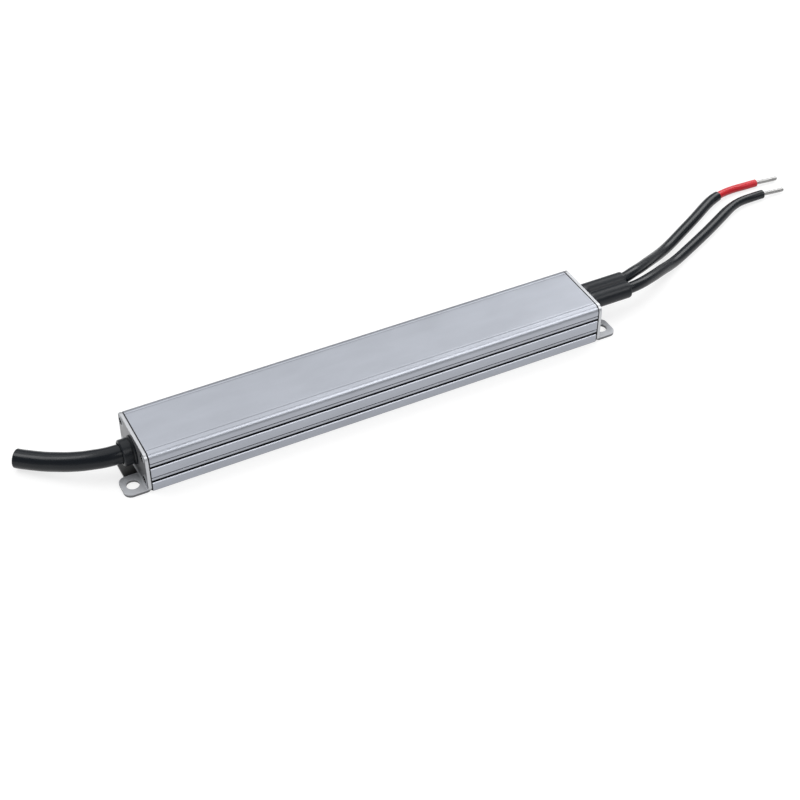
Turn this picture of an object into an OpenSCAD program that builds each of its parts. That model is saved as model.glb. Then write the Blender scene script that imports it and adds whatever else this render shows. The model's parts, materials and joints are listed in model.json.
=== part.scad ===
// Slim LED driver: a finned aluminium extrusion closed by two folded end plates,
// with a rubber cable gland at the mains end and an oval lead sleeve at the output end.
// X runs along the housing towards the output, Y to the back and Z up. The base is at Z = 0.

/* [Housing] */
// Length of the extruded housing
housing_l = 195; // [185:1:240]
// Width of the housing
housing_w = 30; // [29:0.5:36]
// Height of the housing
housing_h = 18; // [18:0.5:24]
// Radius of the two long top edges
top_r = 3; // [1:0.1:3.5]
// Radius of the two long bottom edges
base_r = 0.6; // [0.3:0.1:1]
// Thickness of the roof and the floor
wall = 1.6; // [1.2:0.1:1.8]
// Thickness of the side walls at their ribs
side_wall = 2; // [1.8:0.1:2.2]
// Height of each side groove with the fin in it
groove_h = 2.7; // [2.4:0.1:3]
// Depth of the slots above and below the fin
groove_d = 1.1; // [0.8:0.05:1.2]
// Height of the slot below the fin
slot_h = 1.2; // [0.8:0.1:1.3]
// Height of the slot above the fin
line_h = 0.5; // [0.3:0.1:0.6]
// Distance that the fin stands back from the ribs
fin_back = 0.15; // [0.05:0.05:0.3]
// Height of the lower groove above the base
groove_z = 4.2; // [3.8:0.1:5]
// Distance from the lower groove to the upper one
groove_pitch = 7; // [5:0.1:7.4]
// Chamfer along the lower lip of each groove
lip_c = 0.3; // [0.1:0.05:0.4]

/* [End plates] */
// Thickness of the folded sheet
sheet_t = 1.2; // [0.8:0.1:1.5]
// Inside radius of the fold
fold_r = 0.6; // [0.3:0.1:0.6]
// Thickness of the gasket behind each plate
gasket_t = 0.5; // [0.3:0.1:1]
// Distance that the gasket stands back from the housing's outline
gasket_inset = 0.2; // [0.1:0.05:0.5]
// Length of the ear beyond the plate
ear_l = 8.8; // [8.2:0.1:12]
// Width of the ear
ear_w = 10.8; // [9:0.1:13]
// Distance of the foot from the front and back edges of the plate
ear_inset = 0.5; // [0.3:0.1:1.5]
// Radius of the ear's corners
ear_r = 3; // [1.5:0.1:3.5]
// Radius of the ledge's back corner
ledge_r = 2; // [1:0.1:4]
// Diameter of the mounting hole
hole_d = 5.2; // [3.2:0.1:5.5]
// Distance of the mounting hole from the plate
hole_x = 4.3; // [4:0.1:5]

/* [Plate screws] */
// Diameter of the screw's shank
screw_d = 2.1; // [1.6:0.1:2.3]
// Diameter of the countersunk head
head_d = 4.6; // [3.8:0.1:4.6]
// Height of the head's dome above the plate
head_rise = 0.5; // [0.2:0.1:0.8]
// Length of the screw with its head
screw_l = 8; // [6:0.5:12]
// Distance of each screw from the side of the housing
screw_inset = 3.4; // [3.2:0.1:3.8]
// Height of the lower screws above the base
screw_low = 4.2; // [4.2:0.1:4.6]
// Distance of the upper screws below the roof
screw_drop = 3; // [2.8:0.1:3.4]
// Radius of the screw channels' walls
boss_r = 2; // [1.7:0.1:2.1]

/* [Mains lead] */
// Height of the mains lead above the base
lead_z = 9.8; // [9.8:0.1:10]
// Diameter of the mains cable
cable_d = 7.6; // [7:0.1:7.6]
// Diameter of the gland's flange
flange_d = 11.6; // [11:0.1:12]
// Thickness of the gland's flange
flange_t = 1; // [0.6:0.1:1.5]
// Diameter of the gland's collar
collar_d = 10.5; // [10:0.1:11]
// Distance that the gland stands out from the plate
gland_l = 5; // [4.5:0.1:6]
// Diameter of the gland's neck inside the plate
neck_d = 8.8; // [8.6:0.1:9.2]
// Diameter of the barb behind the plate
barb_d = 10.4; // [9.6:0.1:10.6]
// Diameter of one insulated core inside the housing
core_d = 2.2; // [1.8:0.1:2.2]

/* [Output leads] */
// Diameter of an output wire's jacket
wire_d = 4.85; // [4:0.05:4.85]
// Diameter of the insulation under the jacket
inner_d = 3.5; // [2.8:0.1:3.6]
// Diameter of the tinned conductor
tip_d = 1.8; // [1.2:0.1:2]
// Distance between the two wires in the sleeve, across the housing
wire_pitch = 5.3; // [5.2:0.1:5.4]
// Height of the back wire above the front wire in the sleeve
wire_rise = 1.6; // [1:0.1:1.8]
// Height of the wires' middle above the sleeve's middle
wire_lift = 0.5; // [0.2:0.1:0.5]
// Distance of the sleeve's middle behind the housing's middle
sleeve_y = 1.5; // [0:0.1:1.6]
// Height of the sleeve's middle above the base
sleeve_z = 10.6; // [10:0.1:10.8]
// Width of the sleeve
sleeve_w = 12.2; // [12:0.1:12.6]
// Height of the sleeve
sleeve_h = 9; // [8.8:0.1:9.2]
// Radius of the sleeve's long edges
sleeve_r = 4; // [3:0.1:4.2]
// Length of the sleeve outside the plate
sleeve_l = 22.5; // [15:0.1:24.8]
// Depth of the valley along the top and the bottom of the sleeve
valley = 0.4; // [0.1:0.05:0.5]

/* [Board] */
// Thickness of the circuit board
board_t = 1.6; // [1:0.1:1.6]
// Distance of the board's ends from the housing's ends
board_gap = 6.5; // [6:0.1:7]
// Play between the board's edges and the housing
board_play = 0.3; // [0.2:0.05:0.5]
// Thickness of the insulating sheet on the floor
liner_t = 0.3; // [0.2:0.05:0.6]
// Gap between the tall parts on the board and the roof
roof_gap = 0.6; // [0.3:0.1:1.5]
// Gap between the parts near the board's edges and the upper screw channels
channel_gap = 1; // [0.4:0.1:1.5]
// Length of the mains capacitors
bulk_l = 22; // [16:0.5:23]
// Length of the output capacitors
filter_l = 18; // [14:0.5:18]
// Length of the transformer's core along the housing
core_l = 20; // [16:0.5:20]
// Gap between the transformer's core and the screw channels
core_gap = 0.6; // [0.3:0.1:1.5]

/* [Hidden] */
$fn = 64;
// Clearance between pieces that slide together
fit = 0.05;
// Length by which a cut runs past the face that it leaves
over = 0.5;
bend_r = fold_r + sheet_t;
seat_x = housing_l / 2 + gasket_t;
plate_x = seat_x + sheet_t;
foot_l = sheet_t + ear_l;
ledge_l = foot_l - ear_r;
foot_front = ear_inset - housing_w / 2;
relief = 1.4;
foot_back = housing_w / 2 - relief;
ear_back = foot_front + ear_w;
hole_y = foot_front + ear_w / 2;
inner_w = housing_w / 2 - side_wall;
screw_y = housing_w / 2 - screw_inset;
screw_high = housing_h - screw_drop;
port_d = screw_d + 2 * fit;
pass_play = 0.6;
pass_d = screw_d + pass_play;
head_h = (head_d - screw_d) / 2;
board_z = screw_low + boss_r;
board_top = board_z + board_t;
board_l = housing_l - 2 * board_gap;
board_w = 2 * (inner_w - board_play);
// Room over the board: up to the roof, up to the upper screw channels and across between the channels
room = housing_h - wall - board_top;
edge_room = screw_high - boss_r - board_top;
middle_w = 2 * (screw_y - boss_r);
tall_h = room - roof_gap;
can_d = tall_h;
// The leads end this far past the board's ends, and their pins stand this far inside them
lead_gap = 1;
pin_gap = 5;
lead_end = board_l / 2 + lead_gap;
pin_x = board_l / 2 - pin_gap;
barb_t = 1.4;
// The sleeve keeps this far from the roof
sleeve_gap = 1;
out_z = min(sleeve_z, housing_h - wall - sleeve_h / 2 - sleeve_gap);
wire_y = [sleeve_y + wire_pitch / 2, sleeve_y - wire_pitch / 2];
wire_z = [out_z + wire_lift + wire_rise / 2, out_z + wire_lift - wire_rise / 2];

// Mains cable: middle points, X and Y from the gland's mouth in the plate, Z from the base
cable_route = [
    [lead_end - plate_x, 0, lead_z], [0, 0, lead_z], [6, 0, lead_z], [9, 0.4, 9.6], [12, 1.2, 9.3],
    [15, 2.4, 8.9], [18, 3.9, 8.3], [21, 5.7, 7.7], [24, 7.8, 7], [27, 10.2, 6.3], [30, 12.8, 5.5],
    [33, 15.5, 4.9], [36, 18.3, 4.4], [38, 20.2, 4.1], [39.6, 21.7, 4]];
// Output wires: middle points, X from the plate, Y and Z from the origin.
// The first wire ends in red insulation, the second in black insulation.
positive_route = [
    [lead_end - plate_x, wire_y[0], wire_z[0]], [6, wire_y[0], wire_z[0]], [16, wire_y[0], wire_z[0]],
    [sleeve_l + over, wire_y[0], wire_z[0]], [28.9, 6, 11.7], [34.1, 8.5, 10.5], [40.3, 12.1, 8.7],
    [46.5, 16, 6.5], [52.7, 19.9, 4.4], [58.9, 23.6, 3], [66, 27.6, 2.5], [74, 32, 2.5], [82, 36.4, 2.5],
    [90, 41, 2.5], [96, 44.4, 2.5], [100, 46.3, 2.5], [104, 47.7, 2.5],
    [109, 48.9, 2.3], [115, 49.6, 2], [121, 49.6, 1.8], [127, 49.4, 1.8],
    [132, 49.1, 1.6], [138.6, 48.7, 1.4]];
negative_route = [
    [lead_end - plate_x, wire_y[1], wire_z[1]], [6, wire_y[1], wire_z[1]], [16, wire_y[1], wire_z[1]],
    [sleeve_l + over, wire_y[1], wire_z[1]], [30, 0.4, 9.6], [35, 2.4, 8.7], [41, 5.3, 7.3], [47, 8.5, 5.7],
    [53, 11.7, 3.9], [59, 14.8, 2.8], [66, 18.2, 2.5], [74, 22, 2.5], [82, 25.9, 2.5],
    [90, 30, 2.5], [97, 33.7, 2.5], [103, 36.7, 2.5], [108, 38.6, 2.5],
    [113, 39.7, 2.3], [118, 40.1, 2.1], [124, 40.1, 2.1], [129, 39.9, 1.8], [135.6, 39.6, 1.5]];
// Last point of each jacket and of each insulation along its route
jacket_end = 16;
positive_end = 20;
negative_end = 19;
negative_inner_d = 4.1;
cord_sides = 10;
tip_sides = 8;

// Turns a flat shape drawn across the housing so that it is extruded along X from x
module along_x(x, length) {
    translate([x, 0, 0])
        rotate([90, 0, 90])
            linear_extrude(length)
                children();
}

// Outline with its own radius at the top and at the bottom corners
module outline(w, h, r_top, r_low) {
    translate([-w / 2, r_low])
        square([w, h - r_low - r_top]);
    translate([r_low - w / 2, 0])
        square([w - 2 * r_low, h / 2]);
    translate([r_top - w / 2, h / 2])
        square([w - 2 * r_top, h / 2]);
    for (side = [-1, 1]) {
        translate([side * (w / 2 - r_top), h - r_top])
            circle(r_top);
        translate([side * (w / 2 - r_low), r_low])
            circle(r_low);
    }
}

// The four places of the plate screws, as children drawn at each
module at_screws() {
    for (y = [-screw_y, screw_y], z = [screw_low, screw_high])
        translate([y, z])
            children();
}

// Screw channel in a corner of the cavity: drawn for the right side of the floor
module corner_boss(y, z, foot) {
    translate([y, z])
        circle(boss_r);
    translate([y, foot])
        square([inner_w - y + over, z + boss_r - foot]);
    translate([y - boss_r, foot])
        square([inner_w - y + boss_r + over, z - foot]);
}

// Groove in the right side of the housing: two slots with a fin between them and a chamfer at the lower lip
module groove(z) {
    side = housing_w / 2;
    reach = lip_c + over;
    polygon([
        [side + over, z - reach], [side - lip_c, z], [side - groove_d, z],
        [side - groove_d, z + slot_h], [side + over, z + slot_h]]);
    translate([side - fin_back, z])
        square([fin_back + over, groove_h]);
    translate([side - groove_d, z + groove_h - line_h])
        square([groove_d + over, line_h]);
}

// Hollow of the housing, with its screw channels and the rails over the board left standing
module cavity() {
    rail_w = 1;
    rail_h = 1;
    rail_play = 0.2;
    difference() {
        translate([-inner_w, wall])
            square([2 * inner_w, housing_h - 2 * wall]);
        for (side = [0, 1])
            mirror([side, 0]) {
                corner_boss(screw_y, screw_low, wall - over);
                translate([0, housing_h])
                    mirror([0, 1])
                        corner_boss(screw_y, screw_drop, wall - over);
                translate([inner_w - rail_w, board_top + rail_play])
                    square([rail_w + over, rail_h]);
            }
    }
}

module housing_extrusion() {
    color([0.74, 0.76, 0.8])
        along_x(-housing_l / 2, housing_l)
            difference() {
                outline(housing_w, housing_h, top_r, base_r);
                cavity();
                for (side = [0, 1], z = [groove_z, groove_z + groove_pitch])
                    mirror([side, 0])
                        groove(z);
                at_screws()
                    circle(d = port_d);
            }
}

// Section of the folded sheet: X from the gasket outwards, Y up
module fold_section() {
    translate([0, bend_r])
        square([sheet_t, housing_h - bend_r]);
    translate([bend_r, 0])
        square([foot_l - bend_r, sheet_t]);
    translate([bend_r, bend_r])
        intersection() {
            difference() {
                circle(bend_r);
                circle(fold_r);
            }
            translate([-bend_r, -bend_r])
                square(bend_r);
        }
}

// Plan of the foot: a ledge across the plate and a longer ear at the front
module foot_plan() {
    translate([0, foot_front])
        square([foot_l - ear_r, ear_w]);
    translate([0, foot_front + ear_r])
        square([foot_l, ear_w - 2 * ear_r]);
    for (y = [foot_front + ear_r, ear_back - ear_r])
        translate([foot_l - ear_r, y])
            circle(ear_r);
    translate([0, hole_y])
        square([ledge_l - ledge_r, foot_back - hole_y]);
    translate([0, hole_y])
        square([ledge_l, foot_back - ledge_r - hole_y]);
    translate([ledge_l - ledge_r, foot_back - ledge_r])
        circle(ledge_r);
}

// One folded end plate with its screw holes, drawn at the output end
module end_plate() {
    difference() {
        intersection() {
            translate([seat_x, housing_w / 2, 0])
                rotate([90, 0, 0])
                    linear_extrude(housing_w)
                        fold_section();
            union() {
                along_x(seat_x - over, sheet_t + 2 * over)
                    intersection() {
                        outline(housing_w, housing_h, top_r, base_r);
                        translate([-housing_w / 2, bend_r])
                            square([housing_w, housing_h]);
                    }
                translate([seat_x, 0, 0])
                    linear_extrude(bend_r)
                        foot_plan();
            }
        }
        translate([seat_x + sheet_t + hole_x, hole_y, -over])
            cylinder(d = hole_d, h = sheet_t + 2 * over);
        for (y = [-screw_y, screw_y], z = [screw_low, screw_high])
            translate([plate_x, y, z])
                rotate([0, -90, 0]) {
                    cylinder(d = pass_d, h = sheet_t + over);
                    cylinder(d1 = head_d + 2 * fit, d2 = screw_d + 2 * fit, h = head_h);
                }
    }
}

module input_end_plate() {
    color([0.66, 0.68, 0.71])
        mirror([1, 0, 0])
            difference() {
                end_plate();
                translate([seat_x - over, 0, lead_z])
                    rotate([0, 90, 0])
                        cylinder(d = neck_d + 2 * fit, h = sheet_t + 2 * over);
            }
}

// Section of the sleeve drawn in by inset: a rounded oblong with a shallow valley above and below
module sleeve_section(inset) {
    w = sleeve_w - 2 * inset;
    h = sleeve_h - 2 * inset;
    r = sleeve_r - inset;
    valley_w = 5;
    valley_r = valley / 2 + valley_w * valley_w / (8 * valley);
    translate([sleeve_y, out_z])
        difference() {
            union() {
                square([w - 2 * r, h], center = true);
                square([w, h - 2 * r], center = true);
                for (y = [r - w / 2, w / 2 - r], z = [r - h / 2, h / 2 - r])
                    translate([y, z])
                        circle(r);
            }
            for (side = [-1, 1])
                translate([0, side * (h / 2 + valley_r - valley)])
                    circle(valley_r);
        }
}

neck_inset = 0.2;

module output_end_plate() {
    color([0.66, 0.68, 0.71])
        difference() {
            end_plate();
            along_x(seat_x - over, sheet_t + 2 * over)
                sleeve_section(neck_inset - fit);
        }
}

// Gasket between the housing and a plate, open over the cavity
module gasket() {
    lip = 0.8;
    channel_play = 0.4;
    step_y = middle_w / 2 - channel_play;
    step_z = 0.6;
    along_x(housing_l / 2, gasket_t)
        difference() {
            translate([0, gasket_inset])
                outline(housing_w - 2 * gasket_inset, housing_h - 2 * gasket_inset, top_r, base_r);
            translate([-step_y, wall + lip])
                square([2 * step_y, housing_h - 2 * (wall + lip)]);
            translate([lip - inner_w, board_z + step_z])
                square([2 * (inner_w - lip), screw_high - boss_r - board_z - 2 * step_z]);
            at_screws()
                circle(d = pass_d);
        }
}

module input_gasket() {
    color([0.08, 0.08, 0.09])
        mirror([1, 0, 0])
            gasket();
}

module output_gasket() {
    color([0.08, 0.08, 0.09])
        gasket();
}

// Four raised countersunk screws with crossed recesses, drawn at the output end
module plate_screws() {
    recess_l = 2.4;
    recess_w = 0.6;
    recess_h = 0.7;
    dome_r = (head_d * head_d / 4 + head_rise * head_rise) / (2 * head_rise);
    for (y = [-screw_y, screw_y], z = [screw_low, screw_high])
        translate([plate_x, y, z])
            rotate([0, -90, 0])
                difference() {
                    union() {
                        cylinder(d1 = head_d, d2 = screw_d, h = head_h);
                        cylinder(d = screw_d, h = screw_l);
                        intersection() {
                            translate([0, 0, dome_r - head_rise])
                                sphere(dome_r);
                            translate([0, 0, -head_rise])
                                cylinder(d = head_d, h = head_rise);
                        }
                    }
                    for (turn = [45, 135])
                        rotate(turn)
                            translate([-recess_l / 2, -recess_w / 2, -head_rise - over])
                                cube([recess_l, recess_w, head_rise + recess_h + over]);
                }
}

module input_plate_screws() {
    color([0.45, 0.46, 0.48])
        mirror([1, 0, 0])
            plate_screws();
}

module output_plate_screws() {
    color([0.45, 0.46, 0.48])
        plate_screws();
}

// Rubber gland: a barb behind the plate, a flange against it and a collar with a recessed mouth
module input_gland() {
    bore_r = cable_d / 2 + fit;
    groove_w = 0.4;
    round_c = 0.4;
    mouth_r = bore_r + 0.45;
    mouth_h = 1;
    back = -sheet_t - barb_t;
    color([0.12, 0.12, 0.13])
        translate([-plate_x, 0, lead_z])
            rotate([0, -90, 0])
                rotate_extrude()
                    polygon([
                        [bore_r, back], [barb_d / 2 - round_c, back], [barb_d / 2, back + round_c],
                        [barb_d / 2, -sheet_t], [neck_d / 2, -sheet_t], [neck_d / 2, 0],
                        [flange_d / 2, 0], [flange_d / 2, flange_t - round_c],
                        [flange_d / 2 - round_c, flange_t], [collar_d / 2 - round_c, flange_t],
                        [collar_d / 2 - round_c, flange_t + groove_w], [collar_d / 2, flange_t + groove_w],
                        [collar_d / 2, gland_l - round_c], [collar_d / 2 - round_c, gland_l],
                        [mouth_r, gland_l], [mouth_r, gland_l - mouth_h], [bore_r, gland_l - mouth_h]]);
}

// Sleeve over both output wires: a barb, a neck through the plate and a body with a stepped end
module output_sleeve() {
    step = 0.3;
    color([0.13, 0.13, 0.14])
        difference() {
            union() {
                along_x(seat_x - barb_t, barb_t)
                    sleeve_section(0);
                along_x(seat_x - over, sheet_t + 2 * over)
                    sleeve_section(neck_inset);
                along_x(plate_x, sleeve_l - step)
                    sleeve_section(0);
                along_x(plate_x, sleeve_l)
                    sleeve_section(step);
            }
            for (k = [0, 1])
                translate([seat_x - barb_t - over, wire_y[k], wire_z[k]])
                    rotate([0, 90, 0])
                        cylinder(d = wire_d + 2 * fit, h = barb_t + sheet_t + sleeve_l + 2 * over);
        }
}

// Unit vector
function unit(v) = v / norm(v);

// Direction of a route at point i, taken across its neighbours
function heading(route, i) = unit(route[min(i + 1, len(route) - 1)] - route[max(i - 1, 0)]);

// Ring of points round a route's point i, square to its direction there
function ring(route, i, r, sides) =
    let (ahead = heading(route, i), across = unit(cross(ahead, [0, 0, 1])), above = cross(across, ahead))
    [for (k = [0 : sides - 1])
        let (a = 360 * (k + 0.5) / sides)
        route[i] + r * (cos(a) * across + sin(a) * above)];

// Tube along the points first to last of a route
module tube(route, first, last, d, sides) {
    points = [for (i = [first : last]) each ring(route, i, d / 2, sides)];
    rows = last - first;
    walls = [for (j = [0 : rows - 1], k = [0 : sides - 1])
        let (next = (k + 1) % sides, low = j * sides, high = low + sides)
        [low + k, low + next, high + next, high + k]];
    start_cap = [for (k = [0 : sides - 1]) sides - 1 - k];
    end_cap = [for (k = [0 : sides - 1]) rows * sides + k];
    polyhedron(points, concat(walls, [start_cap, end_cap]), convexity = 8);
}

module input_cable() {
    route = [for (p = cable_route) [-p[0], p[1], p[2]]];
    color([0.13, 0.14, 0.15])
        translate([-plate_x, 0, 0])
            tube(route, 0, len(route) - 1, cable_d, cord_sides);
}

module positive_wire() {
    color([0.13, 0.14, 0.15])
        translate([plate_x, 0, 0])
            tube(positive_route, 0, jacket_end, wire_d, cord_sides);
}

module negative_wire() {
    color([0.13, 0.14, 0.15])
        translate([plate_x, 0, 0])
            tube(negative_route, 0, jacket_end, wire_d, cord_sides);
}

module positive_insulation() {
    color([0.75, 0.12, 0.14])
        translate([plate_x, 0, 0])
            tube(positive_route, jacket_end, positive_end, inner_d, tip_sides);
}

module negative_insulation() {
    color([0.13, 0.14, 0.15])
        translate([plate_x, 0, 0])
            tube(negative_route, jacket_end, negative_end, negative_inner_d, tip_sides);
}

module positive_conductor() {
    color([0.8, 0.8, 0.8])
        translate([plate_x, 0, 0])
            tube(positive_route, positive_end, len(positive_route) - 1, tip_d, tip_sides);
}

module negative_conductor() {
    color([0.8, 0.8, 0.8])
        translate([plate_x, 0, 0])
            tube(negative_route, negative_end, len(negative_route) - 1, tip_d, tip_sides);
}

// Insulated lead inside the housing with its conductor bent down to the board, at the output end
module board_lead(y, z, insulation_d, conductor_d) {
    bare = 1.5;
    translate([lead_end, y, z])
        rotate([0, -90, 0])
            cylinder(d = insulation_d, h = lead_end - pin_x - bare);
    translate([pin_x, y, z])
        rotate([0, 90, 0])
            cylinder(d = conductor_d, h = 2 * bare);
    translate([pin_x, y, z])
        sphere(d = conductor_d);
    translate([pin_x, y, board_top])
        cylinder(d = conductor_d, h = z - board_top);
}

// A lead inside the housing keeps this far above the board
lead_rest = 0.1;
lead_low = board_top + lead_rest + inner_d / 2;

// One core of the mains cable, at the input end
module mains_core(y) {
    conductor_d = 1.2;
    mirror([1, 0, 0])
        board_lead(y, board_top + lead_rest + core_d / 2, core_d, conductor_d);
}

core_pitch = 2.4;

module line_core() {
    color([0.35, 0.2, 0.1])
        mains_core(-core_pitch);
}

module neutral_core() {
    color([0.1, 0.25, 0.6])
        mains_core(core_pitch);
}

module earth_core() {
    color([0.3, 0.6, 0.15])
        mains_core(0);
}

module positive_board_lead() {
    color([0.75, 0.12, 0.14])
        board_lead(wire_y[0], max(wire_z[0], lead_low), inner_d, tip_d);
}

module negative_board_lead() {
    color([0.1, 0.1, 0.1])
        board_lead(wire_y[1], max(wire_z[1], lead_low), inner_d, tip_d);
}

module circuit_board() {
    color([0.1, 0.35, 0.18])
        translate([-board_l / 2, -board_w / 2, board_z])
            cube([board_l, board_w, board_t]);
}

// Thin sheet that keeps the board's underside off the floor
module insulating_sheet() {
    channel_play = 0.4;
    width = middle_w - 2 * channel_play;
    color([0.85, 0.82, 0.7])
        translate([-board_l / 2, -width / 2, wall])
            cube([board_l, width, liner_t]);
}

// Places of the parts on the board: X and Y of their middles
fuse_at = [-72, -7];
varistor_at = [-72, 5];
x_capacitor_at = [-60, 0];
choke_at = [-44, 0];
bridge_at = [-30, 5.5];
bulk_x = -12;
tab_gap = 7.5;
transistor_at = [7, inner_w - tab_gap];
chip_at = [7, -6];
transformer_x = 24;
optocoupler_at = [37.2, -5];
y_capacitor_at = [36.8, 4.5];
rectifier_at = [46, inner_w - tab_gap];
filter_x = 61.5;
inductor_gap = 6.5;
inductor_at = [pin_x - inductor_gap, 0];
lead_wire_d = 0.7;

// Gap-filling pads that carry heat from the board to the floor
module thermal_pads() {
    pad_l = 16;
    pad_w = 14;
    pad_h = board_z - wall - liner_t;
    color([0.55, 0.6, 0.66])
        for (x = [transistor_at[0], rectifier_at[0]])
            translate([x - pad_l / 2, -pad_w / 2, wall + liner_t])
                cube([pad_l, pad_w, pad_h]);
}

// Straight wire leg that stands on the board
module leg(x, y, height) {
    translate([x, y, board_top])
        cylinder(d = lead_wire_d, h = height);
}

// Axial fuse with end caps and legs bent down to the board
module fuse() {
    body_d = 4;
    body_l = 11;
    cap_d = 4.3;
    cap_l = 2.4;
    reach = 1.6;
    z = board_top + cap_d / 2 + 0.2;
    color([0.86, 0.85, 0.8]) {
        translate([fuse_at[0] - body_l / 2, fuse_at[1], z])
            rotate([0, 90, 0]) {
                cylinder(d = body_d, h = body_l);
                cylinder(d = cap_d, h = cap_l);
                translate([0, 0, body_l - cap_l])
                    cylinder(d = cap_d, h = cap_l);
                translate([0, 0, -reach])
                    cylinder(d = lead_wire_d, h = body_l + 2 * reach);
            }
        for (side = [-1, 1]) {
            x = fuse_at[0] + side * (body_l / 2 + reach);
            leg(x, fuse_at[1], z - board_top);
            translate([x, fuse_at[1], z])
                sphere(d = lead_wire_d);
        }
    }
}

// Disc part that stands on two legs, with a rounded rim
disc_stand = 0.5;

module disc_part(at, d, t) {
    stand = disc_stand;
    leg_pitch = 5;
    rim = 0.6;
    z = board_top + stand + d / 2;
    translate([at[0] - t / 2, at[1], z])
        rotate([0, 90, 0])
            rotate_extrude()
                polygon([
                    [0, 0], [d / 2 - rim, 0], [d / 2, rim],
                    [d / 2, t - rim], [d / 2 - rim, t], [0, t]]);
    for (side = [-1, 1])
        leg(at[0], at[1] + side * leg_pitch / 2, stand + d / 4);
}

module varistor() {
    color([0.15, 0.3, 0.6])
        disc_part(varistor_at, tall_h - disc_stand, 3.6);
}

module y_capacitor() {
    color([0.2, 0.4, 0.7])
        disc_part(y_capacitor_at, tall_h - 2 * disc_stand, 2.8);
}

// Moulded block with chamfered top edges, standing on the board
module moulded_block(at, size, chamfer) {
    half = size[0] / 2;
    translate([at[0], at[1] + size[1] / 2, board_top])
        rotate([90, 0, 0])
            linear_extrude(size[1])
                polygon([
                    [-half, 0], [half, 0], [half, size[2] - chamfer], [half - chamfer, size[2]],
                    [chamfer - half, size[2]], [-half, size[2] - chamfer]]);
}

module x_capacitor() {
    color([0.8, 0.65, 0.1])
        moulded_block(x_capacitor_at, [6, 15, tall_h], 0.5);
}

// Common-mode choke: a flat ring with two windings round it
choke_core_d = 12;
choke_hole_d = 6.4;
wrap_t = 1.1;
choke_gap = 0.8;
choke_core_h = tall_h - 2 * wrap_t - choke_gap;

module choke_core() {
    color([0.25, 0.25, 0.26])
        translate([choke_at[0], choke_at[1], board_top + wrap_t])
            rotate_extrude()
                translate([choke_hole_d / 2, 0])
                    square([(choke_core_d - choke_hole_d) / 2, choke_core_h]);
}

module choke_windings() {
    spread = 130;
    ring_w = (choke_core_d - choke_hole_d) / 2;
    color([0.72, 0.4, 0.18])
        translate([choke_at[0], choke_at[1], board_top])
            for (start = [-spread / 2, 180 - spread / 2])
                rotate(start)
                    rotate_extrude(angle = spread)
                        translate([choke_hole_d / 2, 0])
                            difference() {
                                translate([-wrap_t, 0])
                                    square([ring_w + 2 * wrap_t, choke_core_h + 2 * wrap_t]);
                                translate([-fit, wrap_t - fit])
                                    square([ring_w + 2 * fit, choke_core_h + 2 * fit]);
                            }
}

// Rectifier bridge on four legs
module bridge_rectifier() {
    stand = 0.8;
    size = [4.4, 9, edge_room - stand - channel_gap / 2];
    leg_pitch = 2.3;
    color([0.1, 0.1, 0.11]) {
        translate([0, 0, stand])
            moulded_block(bridge_at, size, 0.6);
        for (k = [-1.5 : 1.5])
            leg(bridge_at[0], bridge_at[1] + k * leg_pitch, stand + 1);
    }
}

// Pair of electrolytic capacitors lying on the board, with their legs at the end nearest the mains
module lying_cans(x, length) {
    bead = 0.35;
    bead_x = 2;
    round_c = 0.5;
    gap = 1.2;
    leg_pitch = 3.5;
    reach = 1.2;
    for (side = [-1, 1]) {
        y = side * (can_d + gap) / 2;
        z = board_top + can_d / 2;
        translate([x - length / 2, y, z])
            rotate([0, 90, 0])
                rotate_extrude()
                    polygon([
                        [0, 0], [can_d / 2 - round_c, 0], [can_d / 2, round_c], [can_d / 2, bead_x - bead],
                        [can_d / 2 - bead, bead_x], [can_d / 2, bead_x + bead],
                        [can_d / 2, length - round_c], [can_d / 2 - round_c, length], [0, length]]);
        for (k = [-0.5, 0.5]) {
            translate([x - length / 2 - reach, y + k * leg_pitch, z])
                rotate([0, 90, 0])
                    cylinder(d = lead_wire_d, h = reach + 1);
            translate([x - length / 2 - reach, y + k * leg_pitch, z])
                sphere(d = lead_wire_d);
            leg(x - length / 2 - reach, y + k * leg_pitch, can_d / 2);
        }
    }
}

module bulk_capacitors() {
    color([0.12, 0.13, 0.2])
        lying_cans(bulk_x, bulk_l);
}

module output_capacitors() {
    color([0.12, 0.13, 0.2])
        lying_cans(filter_x, filter_l);
}

// Surface-mount power package: moulded body, metal tab and two bent legs
module power_package(at) {
    body = [9, 8, edge_room - channel_gap];
    tab = [9, 1.6, 1.2];
    foot = [1, 2.6, 0.5];
    pitch = 5;
    moulded_block(at, body, 0.5);
    translate([at[0] - tab[0] / 2, at[1] + body[1] / 2 - over, board_top])
        cube([tab[0], tab[1] + over, tab[2]]);
    for (side = [-1, 1])
        translate([at[0] + side * pitch / 2 - foot[0] / 2, at[1] - body[1] / 2 - foot[1], board_top]) {
            cube([foot[0], foot[1] + over, foot[2]]);
            translate([0, foot[1] - foot[2], 0])
                cube([foot[0], foot[2] + over, body[2] / 2]);
        }
}

module switching_transistor() {
    color([0.12, 0.12, 0.13])
        power_package(transistor_at);
}

module output_rectifier() {
    color([0.12, 0.12, 0.13])
        power_package(rectifier_at);
}

// Small package with rows of bent legs on two sides
module leaded_package(at, size, per_side, pitch) {
    foot = [0.5, 0.9, 0.25];
    moulded_block(at, size, 0.3);
    for (side = [0, 1], k = [0 : per_side - 1])
        translate([at[0] + (k - (per_side - 1) / 2) * pitch, at[1], board_top])
            mirror([0, side, 0])
                translate([-foot[0] / 2, size[1] / 2 - foot[2], 0]) {
                    cube([foot[0], foot[1] + foot[2], foot[2]]);
                    cube([foot[0], 2 * foot[2], size[2] / 2]);
                }
}

module controller_chip() {
    color([0.1, 0.1, 0.11])
        leaded_package(chip_at, [5, 4, 1.6], 4, 1.27);
}

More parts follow.
